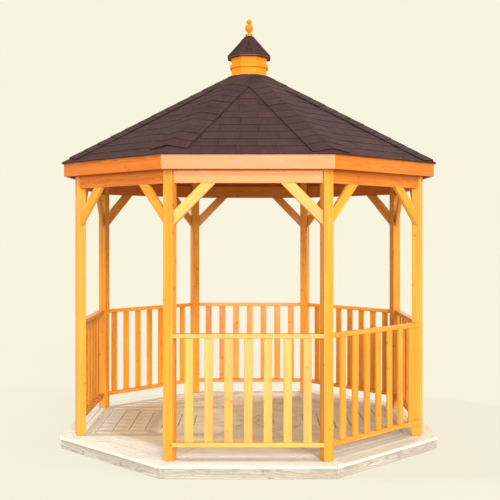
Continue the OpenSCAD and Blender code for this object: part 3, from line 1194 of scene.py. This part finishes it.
def capHips(tree, caps, roof, height, name, material):
    hipSlope = roof["slope"] * cosHalf
    level = math.cos(math.atan(hipSlope))
    corner = roof["eave"] / cosHalf
    cap = plateTemplate(name + "Unit", caps["width"], caps["length"], caps, roof["slope"] * sinHalf * level)
    hipLength = (corner - roof["stop"] / cosHalf) / level
    pile = newPile()
    for index, first in enumerate(caps["first"]):
        mesh = grow(tree, {
            "Cap": cap, "Caps": math.ceil((hipLength - first) / caps["exposure"]), "First": first,
            "Exposure": caps["exposure"], "Corner": corner, "Level": level, "Stop": roof["stop"],
            "Yaw": caps["yaw"], "Ripple": caps["ripple"],
            "Seed": caps["seed"] + caps["seedStep"] * index, "Material": material})
        pileMesh(pile, mesh, slopePlacing(index + 0.5, corner, height, hipSlope, roof["sink"]))
    bpy.data.objects.remove(cap)
    finishPile(pile, name, material, clean=True)


hipTree = hipCapTree()
capHips(hipTree, mainCaps, mainRoof, roofTop(mainRoof["eave"]), "hipCaps", capShingle)
capHips(hipTree, smallCaps, smallRoof, smallEdge, "cupolaHipCaps", cupolaShingle)
print("hip caps laid")


# The core under the small shingles is a shingle's depth slimmer than the finished roof
def buildCupolaCore():
    low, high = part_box("cupola_roof")
    depth = smallRoof["sink"] * math.sqrt(1 + smallRoof["slope"] ** 2)
    seat = cupola["seat"]
    edge = high.z - (-low.y - seat) * smallRoof["slope"]
    levels = [(bodyApothem + cupola["soffitOut"], low.z), (-low.y, low.z + cupola["soffitRise"]),
              (-low.y, edge - depth), (seat, high.z - depth), (seat - cupola["peakIn"], high.z)]
    bm = bmesh.new()
    skin(bm, [circle(apothem / cosHalf, z, 8, 0.5) for apothem, z in levels])
    mesh = bpy.data.meshes.new("cupolaRoofCore")
    bm.to_mesh(mesh)
    bm.free()
    mesh.materials.append(cupolaEdge("cupolaEdge"))
    core = addObject("cupolaRoofCore", mesh)
    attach(core, "root")
    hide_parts("cupola_roof")


def cupolaRing(name, node, section):
    boardRing(name, allSides, section, timber["cupolaPine"], "cupola_timber", [node],
              endCut=cupola["endCut"], ease=cupola["ease"])


def buildCupola():
    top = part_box("cupola_body")[1].z
    inner = bodyApothem - cupola["wall"]
    cupolaRing("cupolaWalls", "cupola_body", [
        (inner, roofTop(inner)), (bodyApothem, roofTop(bodyApothem)), (bodyApothem, top), (inner, top)])
    foot, head = (corner.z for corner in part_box("cupola_moulding"))
    middle = (foot + head) / 2
    flat = cupola["mouldingHeight"] / 4
    out = cupola["mouldingOut"]
    cupolaRing("cupolaMoulding", "cupola_moulding", [
        (bodyApothem, foot), (bodyApothem + out / 3, foot), (bodyApothem + out, middle - flat),
        (bodyApothem + out, middle + flat), (bodyApothem + out / 2, head), (bodyApothem, head)])


finial = {
    "collarRadius": 0.038,
    "collarHeight": 0.038,
    "urnRadius": 0.042,
    "urnFrom": 35,  # degrees under its widest line, and the slope of the taper
    "taper": 0.031,
    "ballRadius": 0.027,
    "neckRadius": 0.012,
    "segments": 48,
    "sharpFrom": 38,  # degrees
}


def arcPoints(centreX, centreY, radius, start, end, count):
    angles = [math.radians(start + (end - start) * k / (count - 1)) for k in range(count)]
    return [(centreX + radius * math.cos(angle), centreY + radius * math.sin(angle)) for angle in angles]


# The outline from the collar over the taper and the urn to the ball, as (radius, height)
def finialOutline():
    collar, collarHeight = finial["collarRadius"], finial["collarHeight"]
    urn, ball, neck, taper = (finial[key] for key in ("urnRadius", "ballRadius", "neckRadius", "taper"))
    lean = math.radians(finial["urnFrom"])
    bead = collarHeight / 3
    urnZ = collarHeight + taper + urn * math.sin(lean)
    urnTo = math.degrees(math.acos(neck / urn))
    ballFrom = math.degrees(math.acos(neck / ball))
    ballZ = urnZ + urn * math.sin(math.radians(urnTo)) + ball * math.sin(math.radians(ballFrom))
    outline = [(collar - bead / 2, 0)]
    outline += arcPoints(collar - bead, collarHeight / 2, bead, -60, 60, 9)
    outline += [(urn * math.cos(lean) - taper * math.tan(lean), collarHeight)]
    outline += arcPoints(0, urnZ, urn, -finial["urnFrom"], urnTo, 16)
    outline += arcPoints(0, ballZ, ball, 10 - ballFrom, 86, 16)
    return outline


def buildFinial():
    low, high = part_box("finial")
    bm = bmesh.new()
    skin(bm, [circle(r, low.z + z, finial["segments"]) for r, z in finialOutline()], (0, 0, high.z))
    points, faces = meshParts(bm)
    pile = newPile()
    wood = (points - np.array([0.0, 0.0, low.z]))[:, [2, 0, 1]]
    addToPile(pile, points, faces, wood, np.full(len(points), nextSeed()))
    piece = finishPile(pile, "turnedFinial", timber["cupolaPine"], ["finial"])
    piece.data.shade_smooth()
    sharp = piece.data.attributes.new("sharp_edge", "BOOLEAN", "EDGE")
    limit = math.radians(finial["sharpFrom"])
    bm = bmesh.new()
    bm.from_mesh(piece.data)
    sharp.data.foreach_set("value", [edge.calc_face_angle(0.0) > limit for edge in bm.edges])
    bm.free()


buildCupolaCore()
buildCupola()
buildFinial()
print("cupola and finial built")

screws = {
    "radius": 0.0042,
    "seed": 7,
    "joistLines": (0.0, -0.4, 0.4),
    "deckInset": 0.042,  # to both sides of a board's middle
    "deckEnd": 0.020,  # from the mitre
    "deckClear": 0.06,
    "braceInset": 0.028,
    "braceSpots": (0.075, 0.115),
    "beamInset": 0.03,
    "beamSpots": (0.04, 0.10),
    "fasciaInset": 0.03,
    "fasciaSpots": (0.03, 0.10),
    "rimInset": 0.035,
    "rimSpots": (0.022, 0.066),
}


# A head on every marked point, facing as the mark says
def screwTree():
    tree, given = newTree("screwHeads", "Head")
    facing = put(tree, "GeometryNodeInputNamedAttribute", {"Name": "facing"}, data_type="FLOAT_VECTOR")[0]
    rotation = feed("FunctionNodeAlignRotationToVector", {"Vector": facing}, axis="Z")[0]
    return finishTree(tree, given, scatter(given["Geometry"], given["Head"], given["Seed"], rotation))


def screwTemplate(radius):
    profile = [(1, -0.001), (1, 0.0006), (0.75, 0.0012), (0.42, 0.0012), (0.3, 0.0004)]
    bm = bmesh.new()
    skin(bm, [circle(radius * share, z, 8) for share, z in profile])
    return templateObject("screwUnit", bm)


def screwMesh(marks):
    mesh = bpy.data.meshes.new("marks")
    mesh.from_pydata([place for place, facing in marks], [], [])
    writeVectors(mesh, "facing", np.array([facing for place, facing in marks]))
    return mesh


def deckMarks():
    marks = []
    for bay in allSides:
        for row in range(deck["rows"]):
            middle = deckApothem - deck["boardWidth"] / 2 - row * deck["boardPitch"]
            for apothem in (middle - screws["deckInset"], middle + screws["deckInset"]):
                end = apothem * tanHalf - screws["deckEnd"]
                lines = [x for x in screws["joistLines"] if abs(x) < end - screws["deckClear"]] + [-end, end]
                marks += [(turned((x, -apothem, deckTop), turn * bay), (0, 0, 1)) for x in lines]
    return marks


def timberMarks():
    outer, top, reach = beam["apothem"], beam["foot"], brace["reach"]
    wall = outer * tanHalf - betweenPosts
    inset = screws["braceInset"]
    fasciaX = fasciaApothem * tanHalf - screws["fasciaInset"]
    rimX = rim["apothem"] * tanHalf - screws["rimInset"]
    spots = [(wall - inset, outer, top - reach + spot) for spot in screws["braceSpots"]]
    spots += [(wall - reach + spot, outer, top - inset) for spot in screws["braceSpots"]]
    spots += [(wall - screws["beamInset"], outer, top + spot) for spot in screws["beamSpots"]]
    spots += [(fasciaX, fasciaApothem, fascia["foot"] + spot) for spot in screws["fasciaSpots"]]
    spots += [(rimX, rim["apothem"], spot) for spot in screws["rimSpots"]]
    marks = []
    for bay in allSides:
        outward = turned((0, -1, 0), turn * bay)
        for side in (-1, 1):
            marks += [(turned((side * x, -apothem, z), turn * bay), outward) for x, apothem, z in spots]
    return marks


def buildScrews():
    steel = screwSteel("screwSteel")
    tree = screwTree()
    head = screwTemplate(screws["radius"])
    for name, marks in (("deckScrews", deckMarks()), ("timberScrews", timberMarks())):
        mesh = grow(tree, {"Head": head, "Seed": screws["seed"], "Material": steel}, screwMesh(marks))
        pile = newPile()
        pileMesh(pile, mesh)
        finishPile(pile, name, steel)
    bpy.data.objects.remove(head)


buildScrews()
print("screws set")


# The joists and both hubs keep their CAD shape
def paint(node, material):
    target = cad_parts[node]
    target.data.materials.clear()
    target.data.materials.append(material)


roughPine = sawnPine("roughPine")
paint("floor_hub", roughPine)
paint("floor_joists", roughPine)
paint("roof_hub", sawnPine("hubPine"))


def addFloor():
    reach = room["floorReach"]
    square = [(-reach, -reach), (reach, -reach), (reach, reach), (-reach, reach)]
    mesh = bpy.data.meshes.new("paleFloor")
    mesh.from_pydata([(x, y, room["floorHeight"]) for x, y in square], [], [(0, 1, 2, 3)])
    material, tree, shader = newMaterial("paleFloor")
    share = 1 - room["floorGlow"]
    fill(shader, {
        "Base Color": (*(part * share for part in room["floorColour"]), 1), "Roughness": 1.0,
        "Specular IOR Level": 0.0, "Emission Color": (*room["surround"], 1),
        "Emission Strength": room["floorGlow"]})
    mesh.materials.append(material)
    addObject("paleFloor", mesh)


addFloor()
print("floor added")
